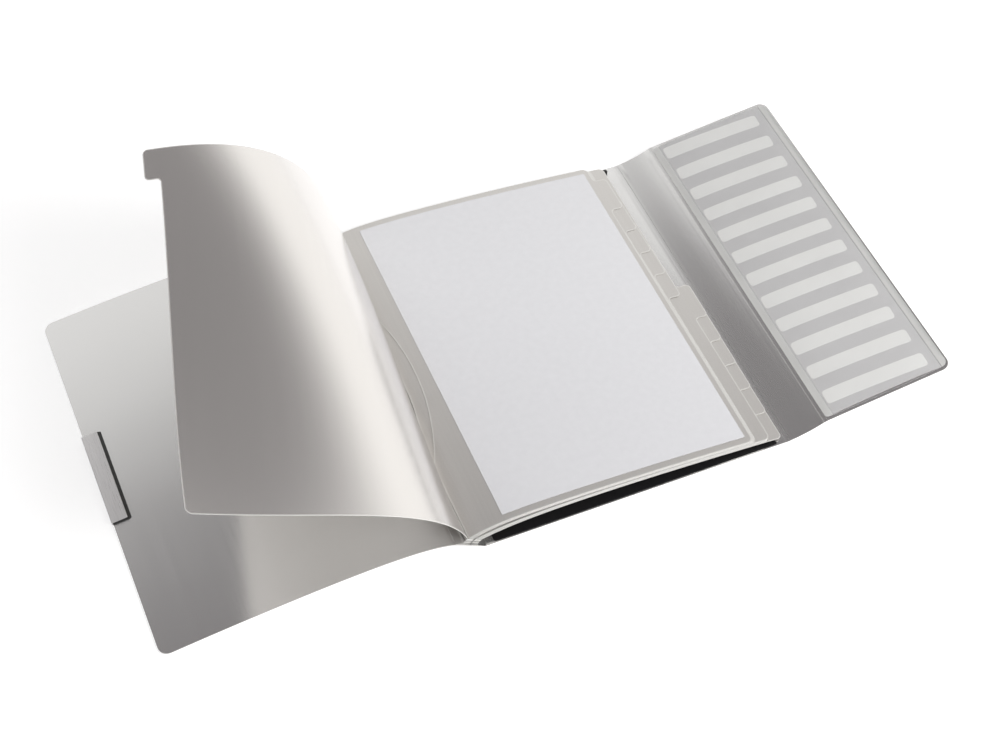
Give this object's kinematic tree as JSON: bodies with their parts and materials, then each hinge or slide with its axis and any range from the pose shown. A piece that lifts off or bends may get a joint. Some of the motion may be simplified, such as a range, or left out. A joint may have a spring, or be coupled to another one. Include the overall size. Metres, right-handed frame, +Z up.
{
  "type": "classification folder",
  "caption": "Divider book lying open, with an arched front cover, a curling first leaf, stepped index tabs, a clear-pocket fore-edge flap and a metal clasp.",
  "frame": {"origin": "middle of the back cover's underside, on the table", "axes": "+X from the spine to the fore-edge, +Y up the page along the spine, +Z up off the table"},
  "size_m": [0.6625, 0.316, 0.1849],
  "materials": {
    "cover_sheet": "pearlescent silver polypropylene, satin gloss",
    "divider_sheet": "silver polypropylene sheet, glossy",
    "binding_strip": "silver polypropylene strip, glossy",
    "liner_sheet": "black polypropylene, fine grain",
    "clasp_metal": "brushed along its length",
    "clasp_bed": "black, satin",
    "pocket_film": "clear film",
    "index_card": "grey printed card",
    "title_label": "white printed field",
    "loose_paper": "plain white office paper"
  },
  "bodies": {
    "back": {"back_cover": "cover_sheet", "back_liner": "liner_sheet"},
    "spine": {"spine_panel": "cover_sheet"},
    "front": {"front_cover": "cover_sheet", "clasp_plate": "clasp_metal", "clasp_base": "clasp_bed"},
    "strip": {"edge_strip": "cover_sheet"},
    "flap": {"flap_panel": "cover_sheet", "pocket_film": "pocket_film"},
    "card": {"index_card": "index_card", "title_labels": "title_label"},
    "upper_binding": {"upper_binding": "binding_strip"},
    "lower_binding": {"lower_binding": "binding_strip"},
    "sheet": {"document_sheet": "loose_paper"},
    "leaf_01": {"divider_leaf_01": "divider_sheet"},
    "leaf_02": {"divider_leaf_02": "divider_sheet"},
    "leaf_03": {"divider_leaf_03": "divider_sheet"},
    "leaf_04": {"divider_leaf_04": "divider_sheet"},
    "leaf_05": {"divider_leaf_05": "divider_sheet"},
    "leaf_06": {"divider_leaf_06": "divider_sheet"},
    "leaf_07": {"divider_leaf_07": "divider_sheet"},
    "leaf_08": {"divider_leaf_08": "divider_sheet"},
    "leaf_09": {"divider_leaf_09": "divider_sheet"},
    "leaf_10": {"divider_leaf_10": "divider_sheet"},
    "leaf_11": {"divider_leaf_11": "divider_sheet"},
    "leaf_12": {"divider_leaf_12": "divider_sheet"}
  },
  "joints": [
    {"name": "front_cover_turn", "type": "hinge", "parent": "spine", "child": "front", "pos_m": [-0.15853, 0, 0.01829], "axis": [0, 1, 0], "range_deg": [-0.01, 116.01]},
    {"name": "spine_turn", "type": "hinge", "parent": "back", "child": "spine", "pos_m": [-0.132, 0, 0.0004], "axis": [0, 1, 0], "range_deg": [-0.01, 56.01]},
    {"name": "upper_binding_lift", "type": "slide", "parent": "back", "child": "upper_binding", "axis": [0.9134, 0, 0.4071], "range_m": [0, 0.0176]},
    {"name": "lower_binding_lift", "type": "slide", "parent": "back", "child": "lower_binding", "axis": [0.9348, 0, 0.3552], "range_m": [-0.00001, 0.00976]},
    {"name": "leaf_01_turn", "type": "hinge", "parent": "upper_binding", "child": "leaf_01", "pos_m": [-0.14558, 0, 0.01318], "axis": [0, 1, 0], "range_deg": [-0.01, 130.01], "deforming": ["divider_leaf_01"]},
    {"name": "leaf_02_turn", "type": "hinge", "parent": "upper_binding", "child": "leaf_02", "pos_m": [-0.14458, 0, 0.01251], "axis": [0, 1, 0], "range_deg": [-50, 0]},
    {"name": "leaf_03_turn", "type": "hinge", "parent": "upper_binding", "child": "leaf_03", "pos_m": [-0.14359, 0, 0.01183], "axis": [0, 1, 0], "range_deg": [-46.01, 0.01]},
    {"name": "leaf_04_turn", "type": "hinge", "parent": "upper_binding", "child": "leaf_04", "pos_m": [-0.14259, 0, 0.01116], "axis": [0, 1, 0], "range_deg": [-42.01, 0.01]},
    {"name": "leaf_05_turn", "type": "hinge", "parent": "upper_binding", "child": "leaf_05", "pos_m": [-0.1416, 0, 0.01049], "axis": [0, 1, 0], "range_deg": [-38.01, 0.01]},
    {"name": "leaf_06_turn", "type": "hinge", "parent": "upper_binding", "child": "leaf_06", "pos_m": [-0.1406, 0, 0.00982], "axis": [0, 1, 0], "range_deg": [-34.01, 0.01]},
    {"name": "leaf_07_turn", "type": "hinge", "parent": "lower_binding", "child": "leaf_07", "pos_m": [-0.13861, 0, 0.00848], "axis": [0, 1, 0], "range_deg": [-30.01, 0.01]},
    {"name": "leaf_08_turn", "type": "hinge", "parent": "lower_binding", "child": "leaf_08", "pos_m": [-0.13762, 0, 0.00781], "axis": [0, 1, 0], "range_deg": [-26.01, 0.01]},
    {"name": "leaf_09_turn", "type": "hinge", "parent": "lower_binding", "child": "leaf_09", "pos_m": [-0.13662, 0, 0.00714], "axis": [0, 1, 0], "range_deg": [-22.01, 0.01]},
    {"name": "leaf_10_turn", "type": "hinge", "parent": "lower_binding", "child": "leaf_10", "pos_m": [-0.13563, 0, 0.00647], "axis": [0, 1, 0], "range_deg": [-18.01, 0.01]},
    {"name": "leaf_11_turn", "type": "hinge", "parent": "lower_binding", "child": "leaf_11", "pos_m": [-0.13463, 0, 0.00579], "axis": [0, 1, 0], "range_deg": [-14.01, 0.01]},
    {"name": "leaf_12_turn", "type": "hinge", "parent": "lower_binding", "child": "leaf_12", "pos_m": [-0.13364, 0, 0.00512], "axis": [0, 1, 0], "range_deg": [-10.01, 0.01]},
    {"name": "edge_strip_turn", "type": "hinge", "parent": "back", "child": "strip", "pos_m": [0.132, 0, 0.0004], "axis": [0, -1, 0], "range_deg": [-8, 30]},
    {"name": "flap_turn", "type": "hinge", "parent": "strip", "child": "flap", "pos_m": [0.16418, 0, 0.01211], "axis": [0, -1, 0], "range_deg": [-2, 80]},
    {"name": "card_slide", "type": "slide", "parent": "flap", "child": "card", "axis": [0, 1, 0], "range_m": [-0.29, 0]},
    {"name": "sheet_slide", "type": "slide", "parent": "leaf_02", "child": "sheet", "axis": [0, 1, 0], "range_m": [-0.29, 0]}
  ],
  "couplings": [
    {"joint": "leaf_03_turn", "follows": "leaf_02_turn", "ratio": 0.92},
    {"joint": "leaf_04_turn", "follows": "leaf_02_turn", "ratio": 0.84},
    {"joint": "leaf_05_turn", "follows": "leaf_02_turn", "ratio": 0.76},
    {"joint": "leaf_06_turn", "follows": "leaf_02_turn", "ratio": 0.68},
    {"joint": "leaf_07_turn", "follows": "leaf_02_turn", "ratio": 0.6},
    {"joint": "leaf_08_turn", "follows": "leaf_02_turn", "ratio": 0.52},
    {"joint": "leaf_09_turn", "follows": "leaf_02_turn", "ratio": 0.44},
    {"joint": "leaf_10_turn", "follows": "leaf_02_turn", "ratio": 0.36},
    {"joint": "leaf_11_turn", "follows": "leaf_02_turn", "ratio": 0.28},
    {"joint": "leaf_12_turn", "follows": "leaf_02_turn", "ratio": 0.2},
    {"joint": "front_cover_turn", "follows": "upper_binding_lift", "rad_per_m": 115.03},
    {"joint": "spine_turn", "follows": "upper_binding_lift", "rad_per_m": 55.53},
    {"joint": "leaf_01_turn", "follows": "upper_binding_lift", "rad_per_m": 128.91},
    {"joint": "lower_binding_lift", "follows": "upper_binding_lift", "ratio": 0.55382}
  ]
}
